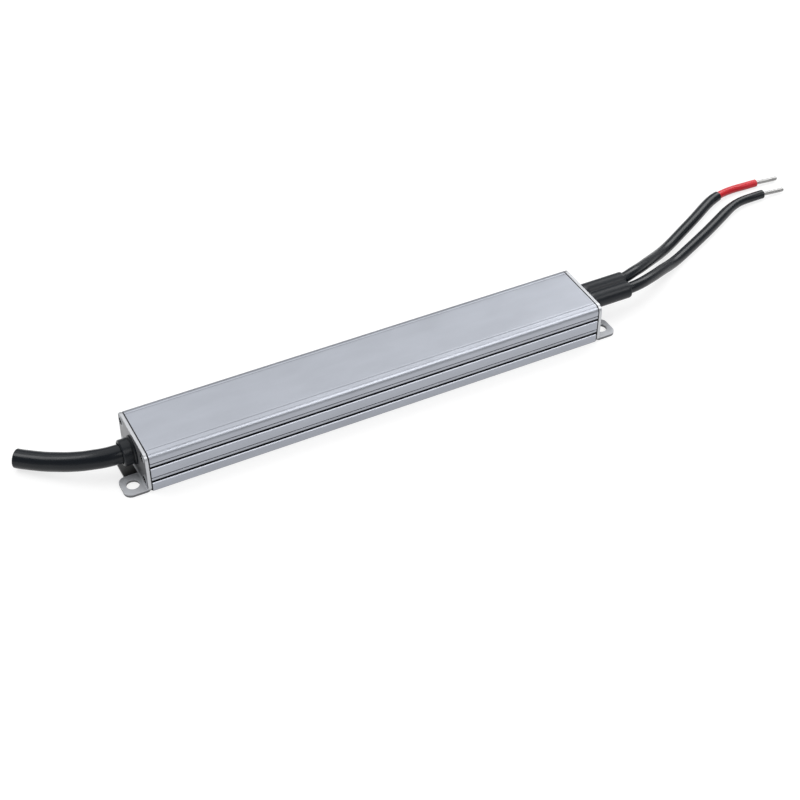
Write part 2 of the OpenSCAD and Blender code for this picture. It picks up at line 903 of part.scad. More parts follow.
module optocoupler() {
    color([0.14, 0.14, 0.15])
        leaded_package(optocoupler_at, [4.6, 6.4, 3.4], 2, 2.54);
}

// Transformer: a ferrite core of two E halves round a bobbin that stands on two rails
core_leg = 3;
core_post = 6.4;
core_yoke = 3;
rail_h = 1.2;
bobbin_t = 0.6;
wind_t = 2.4;
flange_w = 0.7;
bobbin_gap = 0.2;
core_h = room - 2 * rail_h - bobbin_gap;
core_w = middle_w - 2 * core_gap;
core_mid = board_top + rail_h + core_h / 2;
window_w = core_w - 2 * core_yoke;

module transformer_core() {
    color([0.2, 0.2, 0.21])
        translate([transformer_x, 0, board_top + rail_h])
            linear_extrude(core_h)
                difference() {
                    square([core_l, core_w], center = true);
                    for (side = [-1, 1])
                        translate([side * (core_post + core_l - 2 * core_leg) / 4, 0])
                            square([(core_l - 2 * core_leg - core_post) / 2, window_w], center = true);
                }
}

// Section of a frame round the core's post: grown by a on each side
module round_post(a) {
    square([core_post + 2 * a, core_h + 2 * a], center = true);
}

module transformer_bobbin() {
    rail_w = 3;
    rail_l = core_l - 2;
    flange_a = bobbin_t + 1.9;
    color([0.15, 0.15, 0.16]) {
        translate([transformer_x, window_w / 2 - fit, core_mid])
            rotate([90, 0, 0])
                linear_extrude(window_w - 2 * fit)
                    difference() {
                        round_post(bobbin_t);
                        round_post(fit);
                    }
        for (side = [-1, 1]) {
            translate([transformer_x, side * (window_w - flange_w - 2 * fit) / 2, core_mid])
                rotate([90, 0, 0])
                    linear_extrude(flange_w, center = true)
                        difference() {
                            square([core_post + 2 * flange_a, core_h + 2 * rail_h], center = true);
                            round_post(fit);
                        }
            translate([transformer_x - rail_l / 2, side * (core_w - rail_w) / 2 - rail_w / 2, board_top])
                cube([rail_l, rail_w, rail_h]);
        }
        for (y = [-core_w / 2, window_w / 2 - flange_w])
            translate([transformer_x - core_post / 2, y, board_top])
                cube([core_post, core_yoke + flange_w, rail_h - fit]);
    }
}

module transformer_winding() {
    bulge = 1.15;
    length = window_w - 2 * flange_w - 4 * fit;
    color([0.85, 0.7, 0.2])
        translate([transformer_x, length / 2, core_mid])
            rotate([90, 0, 0])
                linear_extrude(length)
                    difference() {
                        square([core_post + 2 * wind_t, core_h + 2 * bulge], center = true);
                        round_post(bobbin_t + fit);
                    }
}

// Output inductor: a drum core standing on the board with its winding in the waist
drum_d = 8;
drum_gap = 1;
drum_h = tall_h - drum_gap;
drum_hub = 4;
drum_flange = 1.2;

module inductor_core() {
    color([0.22, 0.22, 0.23])
        translate([inductor_at[0], inductor_at[1], board_top])
            rotate_extrude()
                polygon([
                    [0, 0], [drum_d / 2, 0], [drum_d / 2, drum_flange], [drum_hub / 2, drum_flange],
                    [drum_hub / 2, drum_h - drum_flange], [drum_d / 2, drum_h - drum_flange],
                    [drum_d / 2, drum_h], [0, drum_h]]);
}

module inductor_winding() {
    recess = 0.4;
    color([0.72, 0.4, 0.18])
        translate([inductor_at[0], inductor_at[1], board_top + drum_flange + fit])
            rotate_extrude()
                translate([drum_hub / 2 + fit, 0])
                    square([(drum_d - drum_hub) / 2 - recess, drum_h - 2 * drum_flange - 2 * fit]);
}

housing_extrusion();
input_end_plate();
output_end_plate();
input_gasket();
output_gasket();
input_plate_screws();
output_plate_screws();
input_gland();
input_cable();
line_core();
neutral_core();
earth_core();
output_sleeve();
positive_wire();
negative_wire();
positive_insulation();
negative_insulation();
positive_conductor();
negative_conductor();
positive_board_lead();
negative_board_lead();
circuit_board();
insulating_sheet();
thermal_pads();
fuse();
varistor();
x_capacitor();
choke_core();
choke_windings();
bridge_rectifier();
bulk_capacitors();
switching_transistor();
controller_chip();
transformer_core();
transformer_bobbin();
transformer_winding();
optocoupler();
y_capacitor();
output_rectifier();
inductor_core();
inductor_winding();
output_capacitors();
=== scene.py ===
# %% [markdown]
# # A slim LED driver
# The real thing is a drawn aluminium tube, closed by two folded end plates, with a mains cable at one
# end and two output wires at the other. Everything rigid is already modelled, at its real size, in the
# frame that is loaded here. This lesson adds what a frame can't hold: the finish of each surface, and
# the soft pieces, which are the leads and the rubber boot round the output wires.

# %% Load the frame
import json
import math

import bpy
import numpy as np
from mathutils import Matrix, Vector


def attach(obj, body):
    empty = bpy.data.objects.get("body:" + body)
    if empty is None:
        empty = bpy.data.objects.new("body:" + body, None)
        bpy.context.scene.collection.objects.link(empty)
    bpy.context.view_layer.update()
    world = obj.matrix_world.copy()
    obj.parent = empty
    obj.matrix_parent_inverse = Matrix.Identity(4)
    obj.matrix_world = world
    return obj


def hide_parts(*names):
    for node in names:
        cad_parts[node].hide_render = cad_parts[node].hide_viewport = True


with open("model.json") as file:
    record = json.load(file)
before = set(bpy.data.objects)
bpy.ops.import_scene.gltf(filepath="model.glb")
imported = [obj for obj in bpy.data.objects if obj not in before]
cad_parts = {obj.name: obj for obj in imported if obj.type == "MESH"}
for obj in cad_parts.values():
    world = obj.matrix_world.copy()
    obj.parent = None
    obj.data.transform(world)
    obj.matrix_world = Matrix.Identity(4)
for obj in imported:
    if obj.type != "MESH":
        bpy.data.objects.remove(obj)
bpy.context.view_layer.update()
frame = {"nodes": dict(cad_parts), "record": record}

MM = 0.001
nodes = frame["nodes"]
print("frame nodes:", len(nodes))

# %% [markdown]
# ## The camera
# A product picture like this is taken with a longish lens from above one corner. The angles, the
# distance and the focal length were found by matching the straight edges of the housing. A camera can be
# aimed with a Track To constraint, but writing its three axes into one matrix keeps the numbers visible.

# %% Camera
VIEW_AZIMUTH = math.radians(-26.972)
VIEW_ELEVATION = math.radians(41.344)
VIEW_DISTANCE = 647.21 * MM
VIEW_RIGHT = 12.303 * MM
VIEW_UP = -3.711 * MM
FOCAL_PIXELS = 1609.9
IMAGE_PIXELS = 800
SENSOR_MM = 36.0
CLIP_NEAR, CLIP_FAR = 0.01, 20

back = Vector((
    math.sin(VIEW_AZIMUTH) * math.cos(VIEW_ELEVATION),
    -math.cos(VIEW_AZIMUTH) * math.cos(VIEW_ELEVATION),
    math.sin(VIEW_ELEVATION)))
right = Vector((0, 0, 1)).cross(back).normalized()
up = back.cross(right)
place = right * VIEW_RIGHT + up * VIEW_UP + back * VIEW_DISTANCE

camera = bpy.data.objects.new("camera", bpy.data.cameras.new("camera"))
camera.data.sensor_width = SENSOR_MM
camera.data.lens = SENSOR_MM * FOCAL_PIXELS / IMAGE_PIXELS
camera.data.clip_start, camera.data.clip_end = CLIP_NEAR, CLIP_FAR
camera.matrix_world = Matrix.Translation(place) @ Matrix((right, up, back)).transposed().to_4x4()
bpy.context.scene.collection.objects.link(camera)
bpy.context.scene.camera = camera
print("camera at", [round(v, 4) for v in place])

# %% [markdown]
# ## A surface from rings
# Every new piece is a stack of rings: a profile carried along a path. The whole stack is one numpy array
# of shape (rings, sides, 3), so no loop visits a vertex. Neighbouring rings are joined by quads, and each
# end closes on a single point, which leaves no seam and no hole.

# %% Rings to mesh
SHARP_ANGLE = math.radians(35)


def ring_piece(name, rings, along, start, end):
    """Mesh from rings of points, closed at both ends on the points start and end. Its UV map holds the
    distance along the path and the share of the way round."""
    count, sides = rings.shape[:2]
    row, col = np.meshgrid(np.arange(count - 1), np.arange(sides), indexing="ij")
    row, col = row.ravel(), col.ravel()
    after = (col + 1) % sides
    near, far = row * sides, (row + 1) * sides
    quads = np.stack([near + col, near + after, far + after, far + col], 1)
    turn = np.arange(sides)
    turn_after = (turn + 1) % sides
    first, last, last_ring = count * sides, count * sides + 1, (count - 1) * sides
    start_fan = np.stack([np.full(sides, first), turn_after, turn], 1)
    end_fan = np.stack([np.full(sides, last), last_ring + turn, last_ring + turn_after], 1)
    points = np.concatenate([rings.reshape(-1, 3), [start], [end]])
    mesh = bpy.data.meshes.new(name)
    mesh.from_pydata(points.tolist(), [], quads.tolist() + start_fan.tolist() + end_fan.tolist())

    u = np.concatenate([
        np.stack([along[row], along[row], along[row + 1], along[row + 1]], 1).ravel(),
        np.full(3 * sides, along[0]), np.full(3 * sides, along[-1])])
    share = np.stack([turn + 0.5, turn + 1, turn], 1).ravel()
    v = np.concatenate([np.stack([col, col + 1, col + 1, col], 1).ravel(), share, share]) / sides
    layer = mesh.uv_layers.new(name="length_and_turn")
    layer.data.foreach_set("uv", np.stack([u, v], 1).astype(np.float32).ravel())
    mesh.polygons.foreach_set("use_smooth", np.ones(len(mesh.polygons), bool))
    mesh.set_sharp_from_angle(angle=SHARP_ANGLE)
    mesh.update()
    piece = bpy.data.objects.new(name, mesh)
    bpy.context.scene.collection.objects.link(piece)
    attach(piece, "root")
    print(name, "is made of", count, "rings of", sides, "points")
    return piece


print("edges over", round(math.degrees(SHARP_ANGLE)), "degrees stay sharp")

# %% [markdown]
# ## Smooth routes for the leads
# A lead is stiff enough to take one smooth line from its exit down to the table. Joining its points with
# straight runs would show kinks, and a Bezier curve needs handles. A cubic spline needs only the points:
# its curvature changes evenly between them, as it does in a bent cable. A half circle through nine points
# shows how true it runs.

# %% Spline
def spline(points, step):
    """Natural cubic spline through the points, with the chord length as parameter. On each span the line
    is the straight chord plus a cubic bulge set by the second derivatives at the span's two ends."""
    p = np.asarray(points, float)
    chord = np.diff(p, axis=0)
    h = np.linalg.norm(chord, axis=1)
    t = np.concatenate([[0], np.cumsum(h)])
    n = len(p)
    inner = np.arange(1, n - 1)
    system = np.eye(n)
    system[inner, inner - 1] = h[:-1]
    system[inner, inner] = 2 * (h[:-1] + h[1:])
    system[inner, inner + 1] = h[1:]
    slope = chord / h[:, None]
    target = np.zeros_like(p)
    target[1:-1] = 6 * np.diff(slope, axis=0)
    second = np.linalg.solve(system, target)
    s = np.linspace(0, t[-1], max(2, round(t[-1] / step) + 1))
    k = np.clip(np.searchsorted(t, s, side="right") - 1, 0, n - 2)
    b = ((s - t[k]) / h[k])[:, None]
    a = 1 - b
    bulge = ((a ** 3 - a) * second[k] + (b ** 3 - b) * second[k + 1]) * h[k, None] ** 2 / 6
    return a * p[k] + b * p[k + 1] + bulge


half_turn = np.linspace(0, np.pi, 9)
arc = spline(np.stack([np.cos(half_turn), np.sin(half_turn), 0 * half_turn], 1), 0.01)
stray = float(np.abs(np.hypot(arc[:, 0], arc[:, 1]) - 1).max())
print("spline through a half circle strays by", round(100 * stray, 2), "percent of its radius")

# %% [markdown]
# A tube needs more than a line: at every point it has to know which way is ahead, across and above. The
# bevel of a Blender curve keeps these directions to itself and may twist. Here the direction across is
# always level, so neighbouring rings line up, as long as no lead runs straight up.

# %% Directions along a path
def unit(v):
    """Vectors with the same directions and the length one."""
    return v / np.linalg.norm(v, axis=-1, keepdims=True)


class Route:
    """A path with its direction, its level side direction and its upward direction at any distance."""

    def __init__(self, path):
        self.path = path
        steps = np.linalg.norm(np.diff(path, axis=0), axis=1)
        self.s = np.concatenate([[0], np.cumsum(steps)])
        self.length = self.s[-1]
        self.ahead = unit(np.gradient(path, self.s, axis=0))
        self.across = unit(np.cross(self.ahead, (0, 0, 1)))
        self.above = np.cross(self.across, self.ahead)

    def at(self, values, s):
        """Values of the path's points, read at any distance."""
        return np.stack([np.interp(s, self.s, values[:, axis]) for axis in range(3)], -1)

    def part(self, start, end):
        """The stretch between two distances, as a route of its own."""
        inside = self.s[(self.s > start) & (self.s < end)]
        return Route(self.at(self.path, np.concatenate([[start], inside, [end]])))


print("that half circle is", round(float(Route(arc).length), 3), "radii long")

# %% [markdown]
# A lead is a ring that is carried along its route. A cut end is never quite sharp, so a second helper gives
# the stations and radii that round off a rim.

# %% Tubes along a route
def swept(name, route, stations, radii, sides=40, ridges=0, depth=0, twist=0):
    """Tube along a route: at each station (a distance) a ring with that radius, square to the path. With
    ridges, the radius also rises and falls that often round the ring, and the crests turn with distance."""
    s, r = np.asarray(stations, float), np.asarray(radii, float)
    angle = np.linspace(0, 2 * np.pi, sides, endpoint=False)
    swell = 1 + depth * np.cos(ridges * (angle - twist * s[:, None]))
    r = (r[:, None] * swell)[..., None]
    middle = route.at(route.path, s)[:, None]
    across, above = route.at(route.across, s)[:, None], route.at(route.above, s)[:, None]
    rings = middle + r * (np.cos(angle)[:, None] * across + np.sin(angle)[:, None] * above)
    return ring_piece(name, rings, s, middle[0, 0], middle[-1, 0])


def rounded_end(length, radius, edge, steps=5):
    """Stations and radii of a square-cut end whose rim is rounded by edge: a quarter circle, then the
    face."""
    a = np.linspace(0, np.pi / 2, steps)
    return length - edge + edge * np.sin(a), radius - edge + edge * np.cos(a)


print("radii of a rounded rim:", np.round(rounded_end(10, 2, 0.5)[1], 2))

# %% [markdown]
# ## Where the leads run
# The points below are the middle lines of the three leads, in millimetres, straight out of the housing
# and then down to the table. They repeat the routes of the frame, so each drawn lead lies where its solid
# is. The mains cable leaves through a gland in the plate at minus X, the output wires through the other.

# %% Routes
PLATE_X = 99.2
LEAD_Z = 9.8
INNER_END = 92 - PLATE_X
SLEEVE_Y, SLEEVE_Z = 1.5, 10.6
SLEEVE_L = 22.5
BACK_Y, BACK_Z = 4.15, 11.9
FRONT_Y, FRONT_Z = -1.15, 10.3

CABLE_POINTS = [
    (INNER_END, 0, LEAD_Z), (0, 0, LEAD_Z), (6, 0, LEAD_Z), (9, 0.4, 9.6), (12, 1.2, 9.3),
    (15, 2.4, 8.9), (18, 3.9, 8.3), (21, 5.7, 7.7), (24, 7.8, 7), (27, 10.2, 6.3), (30, 12.8, 5.5),
    (33, 15.5, 4.9), (36, 18.3, 4.4), (38, 20.2, 4.1), (39.6, 21.7, 4)]
POSITIVE_POINTS = [
    (INNER_END, BACK_Y, BACK_Z), (6, BACK_Y, BACK_Z), (16, BACK_Y, BACK_Z),
    (SLEEVE_L + 0.5, BACK_Y, BACK_Z), (28.9, 6, 11.7), (34.1, 8.5, 10.5), (40.3, 12.1, 8.7),
    (46.5, 16, 6.5), (52.7, 19.9, 4.4), (58.9, 23.6, 3), (66, 27.6, 2.5), (74, 32, 2.5), (82, 36.4, 2.5),
    (90, 41, 2.5), (96, 44.4, 2.5), (100, 46.3, 2.5), (104, 47.7, 2.5),
    (109, 48.9, 2.3), (115, 49.6, 2), (121, 49.6, 1.8), (127, 49.4, 1.8), (132, 49.1, 1.6),
    (138.6, 48.7, 1.4)]
NEGATIVE_POINTS = [
    (INNER_END, FRONT_Y, FRONT_Z), (6, FRONT_Y, FRONT_Z), (16, FRONT_Y, FRONT_Z),
    (SLEEVE_L + 0.5, FRONT_Y, FRONT_Z), (30, 0.4, 9.6), (35, 2.4, 8.7), (41, 5.3, 7.3), (47, 8.5, 5.7),
    (53, 11.7, 3.9), (59, 14.8, 2.8), (66, 18.2, 2.5), (74, 22, 2.5), (82, 25.9, 2.5),
    (90, 30, 2.5), (97, 33.7, 2.5), (103, 36.7, 2.5), (108, 38.6, 2.5),
    (113, 39.7, 2.3), (118, 40.1, 2.1), (124, 40.1, 2.1), (129, 39.9, 1.8), (135.6, 39.6, 1.5)]
STEP = 0.6 * MM


def route_from(points, towards):
    """Spline in metres through points whose X is measured outwards from the plate."""
    p = np.asarray(points, float)
    p[:, 0] = towards * (p[:, 0] + PLATE_X)
    return Route(spline(p * MM, STEP))


cable_route = route_from(CABLE_POINTS, -1)
positive_route = route_from(POSITIVE_POINTS, 1)
negative_route = route_from(NEGATIVE_POINTS, 1)
for label, route in (("mains", cable_route), ("positive", positive_route), ("negative", negative_route)):
    print(label, "route", round(route.length / MM, 1), "mm")

# %% [markdown]
# ## The mains cable
# It is a round flexible cord: three insulated cores, laid up with a slow twist, inside a black sheath. The
# twist shows through the sheath as a very faint three-sided swell, which keeps the highlight from looking
# like that of a machined rod. Its far end is cut square, so the cores can be seen there.

# %% Mains cable
CABLE_R = 3.8 * MM
CABLE_RINGS = 110
CUT_EDGE = 0.25 * MM
cut_s, cut_r = rounded_end(cable_route.length, CABLE_R, CUT_EDGE)
plain = np.linspace(0, cable_route.length - CUT_EDGE, CABLE_RINGS)[:-1]
mains_cable = swept(
    "mains_cable", cable_route, np.concatenate([plain, cut_s]),
    np.concatenate([np.full(len(plain), CABLE_R), cut_r]), sides=64, ridges=3, depth=0.003, twist=70)
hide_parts("input_cable")

# %% [markdown]
# The cut face shows three cores in a triangle. Each is a short stub of insulation that stands a hair proud
# of the cut, with a bundle of copper strands in its middle. A seven-lobed ring reads as seven strands.

# %% Cores in the cut face
CORE_R, CORE_RING = 1.15 * MM, 1.55 * MM
STRAND_R = 0.62 * MM
STRANDS, STRAND_SWELL = 7, 0.12
PROUD = 0.15 * MM
STUB_DEPTH, STUB_EDGE = 2 * MM, 0.08 * MM
end_point, end_ahead = cable_route.path[-1], cable_route.ahead[-1]
end_across, end_above = cable_route.across[-1], cable_route.above[-1]


def core_stub(name, turn, radius, proud, ridges=0, depth=0):
    """Short straight tube that comes out of the cable's cut face at that angle round its middle."""
    middle = end_point + CORE_RING * (math.cos(turn) * end_across + math.sin(turn) * end_above)
    reach = np.linspace(-STUB_DEPTH, proud, 6)[:, None]
    stub = Route(middle + reach * end_ahead)
    tip_s, tip_r = rounded_end(stub.length, radius, STUB_EDGE, 3)
    return swept(name, stub, np.concatenate([[0, stub.length / 2], tip_s]),
                 np.concatenate([[radius, radius], tip_r]), sides=28, ridges=ridges, depth=depth)


cut_cores, cut_strands = [], []
for order, colour in enumerate(("brown", "blue", "green")):
    turn = math.radians(90 + 120 * order)
    cut_cores.append(core_stub("cut_core_" + colour, turn, CORE_R, PROUD))
    cut_strands.append(
        core_stub("cut_strands_" + colour, turn, STRAND_R, 2 * PROUD, ridges=STRANDS, depth=STRAND_SWELL))
print("cut face:", len(cut_cores), "cores")

# %% [markdown]
# ## The output wires
# Both wires have a thick black jacket over a thinner insulation, red on the positive wire and black on the
# negative. The jacket of the positive wire ends in a clean step, while the negative one thins out softly.

# %% Jackets and insulation
WIRE_R, RED_R, BLACK_R = 2.42 * MM, 1.75 * MM, 2.05 * MM
STEP_R, STEP_EDGE, STEP_TAPER = 2.3 * MM, 0.2 * MM, 4 * MM
SOFT_R, SOFT_EDGE, SOFT_TAPER = 2.1 * MM, 0.05 * MM, 12 * MM
UNDER_JACKET = 1 * MM
POSITIVE_JACKET_X, POSITIVE_BARE_X = 104, 127
NEGATIVE_JACKET_X, NEGATIVE_BARE_X = 108, 124


def distance_to(route, x):
    """Distance along an output wire's route at which it reaches that X beyond the plate."""
    return float(np.interp((x + PLATE_X) * MM, route.path[:, 0], route.s))


def eased(share):
    """Share with a soft start and a soft end: three times its square less twice its cube."""
    return share ** 2 * (3 - 2 * share)


def lead_part(name, path, first_r, last_r, edge, taper=0, count=120):
    """Stretch of a wire with rounded rims. Its radius eases from first_r to last_r over the taper's length
    at its end."""
    s = np.linspace(edge, path.length - edge, count)[1:-1]
    share = np.clip((s - (path.length - taper)) / max(taper, 1e-9), 0, 1)
    r = first_r + (last_r - first_r) * eased(share)
    tip_s, tip_r = rounded_end(path.length, r[-1], edge)
    root_s = (path.length - tip_s)[::-1]
    root_r = rounded_end(path.length, first_r, edge)[1][::-1]
    return swept(name, path, np.concatenate([root_s, s, tip_s]), np.concatenate([root_r, r, tip_r]))


positive_step = distance_to(positive_route, POSITIVE_JACKET_X)
negative_step = distance_to(negative_route, NEGATIVE_JACKET_X)
positive_bare = distance_to(positive_route, POSITIVE_BARE_X)
negative_bare = distance_to(negative_route, NEGATIVE_BARE_X)
positive_path = positive_route.part(0, positive_step)
negative_path = negative_route.part(0, negative_step)
red_path = positive_route.part(positive_step - UNDER_JACKET, positive_bare)
black_path = negative_route.part(negative_step - UNDER_JACKET, negative_bare)
positive_jacket = lead_part("positive_jacket", positive_path, WIRE_R, STEP_R, STEP_EDGE, STEP_TAPER)
negative_jacket = lead_part("negative_jacket", negative_path, WIRE_R, SOFT_R, SOFT_EDGE, SOFT_TAPER)
red_core = lead_part("red_core", red_path, RED_R, RED_R, STEP_EDGE)
black_core = lead_part("black_core", black_path, BLACK_R, BLACK_R, STEP_EDGE)
for piece, node, slot in (
        (positive_jacket, "positive_wire", "cable_sheath"),
        (negative_jacket, "negative_wire", "cable_sheath"),
        (red_core, "positive_insulation", "red_insulation"),
        (black_core, "negative_insulation", "black_insulation")):
    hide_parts(node)

# %% [markdown]
# The bare ends are stranded copper, twisted tight and dipped in solder, which fills the grooves and leaves
# only a trace of the lay. One lobed profile carried along the wire with a slow turn gives all the strands
# at once, and its tip is rounded like a drop of solder.

# %% Tinned strands
TIP_R, TIP_DOME = 0.92 * MM, 0.55 * MM


def strands(name, route, start):
    """Twisted bundle from a distance on a route to its end, with a domed tip."""
    piece = route.part(start - UNDER_JACKET, route.length)
    dome_s, dome_r = rounded_end(piece.length, TIP_R, TIP_DOME, 8)
    s = np.linspace(0, dome_s[0], 70)[:-1]
    return swept(name, piece, np.concatenate([s, dome_s]), np.concatenate([np.full(len(s), TIP_R), dome_r]),
                 sides=84, ridges=STRANDS, depth=0.004, twist=95)


positive_tip = strands("positive_strands", positive_route, positive_bare)
negative_tip = strands("negative_strands", negative_route, negative_bare)
for piece, node in ((positive_tip, "positive_conductor"), (negative_tip, "negative_conductor")):
    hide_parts(node)
print("bare tips:", round((positive_route.length - positive_bare) / MM, 1), "mm and",
      round((negative_route.length - negative_bare) / MM, 1), "mm")

# %% [markdown]
# ## The rubber boot
# A moulded boot holds both wires where they leave the plate. At the plate its section is a soft oblong, and
# a superellipse gives that in one line: it lies between an ellipse and a rectangle. Further out the rubber
# follows the two wires, so the section becomes two circles that overlap, tilted as the wires are, with a
# soft valley between them. One share, which rises along the boot, leads from one shape to the other.

# %% Sections of the boot
BOOT_HALF_W, BOOT_HALF_H = 6.1, 4.5
BOOT_POWER = 2.6
LOBE_R = 3.65
LOBE_Y, LOBE_Z = 2.45, 0.75
VALLEY_SHARPNESS = 4
OBLONG_END, LOBES_START = 0.5, 4.5


def oblong(angle):
    """Superellipse in polar form: the powers of the two scaled coordinates add up to one."""
    c, s = np.abs(np.cos(angle)) / BOOT_HALF_W, np.abs(np.sin(angle)) / BOOT_HALF_H
    return (c ** BOOT_POWER + s ** BOOT_POWER) ** (-1 / BOOT_POWER)


def two_lobes(angle):
    """Two circles that overlap, in polar form: the root of R squared less (c sin) squared, plus the size of
    c cos, whose kink at the valley is rounded by adding exponentials."""
    c = math.hypot(LOBE_Y, LOBE_Z)
    turn = angle - math.atan2(LOBE_Z, LOBE_Y)
    along = VALLEY_SHARPNESS * c * np.cos(turn)
    return np.sqrt(LOBE_R ** 2 - (c * np.sin(turn)) ** 2) + np.logaddexp(along, -along) / VALLEY_SHARPNESS


def boot_section(angle, x, inset):
    """Section at a distance from the plate, drawn in by inset: an eased share of the way from the oblong to
    the two lobes."""
    share = eased(np.clip((x - OBLONG_END) / (LOBES_START - OBLONG_END), 0, 1))
    reach = oblong(angle) * (1 - share) + two_lobes(angle) * share - inset
    return reach * np.cos(angle), reach * np.sin(angle)


for x in (0, SLEEVE_L):
    print("boot's half width", x, "mm from the plate:", round(float(boot_section(0, x, 0)[0]), 2), "mm")

# %% [markdown]
# The boot's root goes a little way into the plate, and its far end rounds off. The flat face there is drawn
# by rings that shrink towards the middle, so that it can dip a little round each wire, as rubber does where
# it was moulded onto a jacket.

# %% Output boot
BOOT_EDGE = 0.8
ROOT_X, ROOT_INSET = (-1.4, -1.3, 0, 0), (0.4, 0.3, 0.3, 0)
BOOT_POINTS, BOOT_RINGS, FACE_RINGS = 180, 26, 40
FIRST_RING = 0.2
FACE_OUTER, FACE_INNER = 0.96, 0.04
DIP_DEPTH, DIP_W = 0.5, 0.3


def dip(y, z):
    """Depth of the dip round the wires: a narrow bell over the distance from each wire's surface."""
    wires = ((BACK_Y - SLEEVE_Y, BACK_Z - SLEEVE_Z), (FRONT_Y - SLEEVE_Y, FRONT_Z - SLEEVE_Z))
    gaps = np.stack([np.hypot(y - wire_y, z - wire_z) - WIRE_R / MM for wire_y, wire_z in wires])
    return DIP_DEPTH * np.exp(-(gaps / DIP_W) ** 2).max(0)


angle = np.linspace(0, 2 * np.pi, BOOT_POINTS, endpoint=False)
quarter = np.linspace(0, np.pi / 2, 7)[1:]
stations = np.concatenate([ROOT_X, np.linspace(FIRST_RING, SLEEVE_L - BOOT_EDGE, BOOT_RINGS),
                           SLEEVE_L - BOOT_EDGE * (1 - np.sin(quarter))])
inset = np.concatenate([ROOT_INSET, np.zeros(BOOT_RINGS), BOOT_EDGE * (1 - np.cos(quarter))])
side_y, side_z = boot_section(angle, stations[:, None], inset[:, None])
face_share = np.linspace(FACE_OUTER, FACE_INNER, FACE_RINGS)[:, None]
y = np.concatenate([side_y, side_y[-1] * face_share])
z = np.concatenate([side_z, side_z[-1] * face_share])
x = np.concatenate([stations, np.full(FACE_RINGS, SLEEVE_L)])[:, None]
on_face = np.arange(len(y))[:, None] >= len(stations) - 2
x = x - np.where(on_face, dip(y, z), 0)
boot_rings = np.stack([PLATE_X + x, SLEEVE_Y + y, SLEEVE_Z + z], -1) * MM
output_boot = ring_piece("output_boot", boot_rings, np.arange(len(boot_rings)) * MM,
                         boot_rings[0].mean(0), boot_rings[-1].mean(0))
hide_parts("output_sleeve")

# %% Lead lengths
lead_paths = (cable_route, positive_path, negative_path)
print("leads of", *(round(path.length / MM, 1) for path in lead_paths), "mm")

# %% [markdown]
# ## Shader maths as Python
# A finish is a tree of nodes. Wiring it by hand hides the formula, so one small class stands for a socket
# and turns signs such as + and * into Math nodes.

# %% Field
class Field:
    """A number that changes over a surface. Its operators add Math nodes to the finish that it belongs
    to."""

    def __init__(self, finish, socket):
        self.finish, self.socket = finish, socket

    def math(self, operation, first, second=0.0):
        """Adds one Math node."""
        return self.finish.node("ShaderNodeMath", {"operation": operation}, {0: first, 1: second})

    def __add__(self, other):
        return self.math("ADD", self, other)

    def __sub__(self, other):
        return self.math("SUBTRACT", self, other)

    def __rsub__(self, other):
        return self.math("SUBTRACT", other, self)

    def __mul__(self, other):
        return self.math("MULTIPLY", self, other)

    def __gt__(self, other):
        return self.math("GREATER_THAN", self, other)

    def __lt__(self, other):
        return self.math("LESS_THAN", self, other)

    def size(self):
        """The number without its sign."""
        return self.math("ABSOLUTE", self)

    def bell(self, middle, width):
        """1 at the middle and falling off on both sides like a bell."""
        off = (self - middle) * (1 / width)
        return self.math("EXPONENT", -1 * (off * off))

    def at_least(self, lowest):
        """The number, or the lowest where it would be under that."""
        return self.math("MAXIMUM", self, lowest)

    def swing(self, amount):
        """Change of up to half the amount either way, for a number from 0 to 1."""
        return (self - 0.5) * amount

    __radd__ = __add__
    __rmul__ = __mul__


print("a field has", [name for name in vars(Field) if "__" not in name])

# %% [markdown]
# A second class stands for a whole material. It adds any node from its settings and inputs, and it has a
# few helpers for what most finishes need: a place, noise, a mix of colours, a slope and a relief.

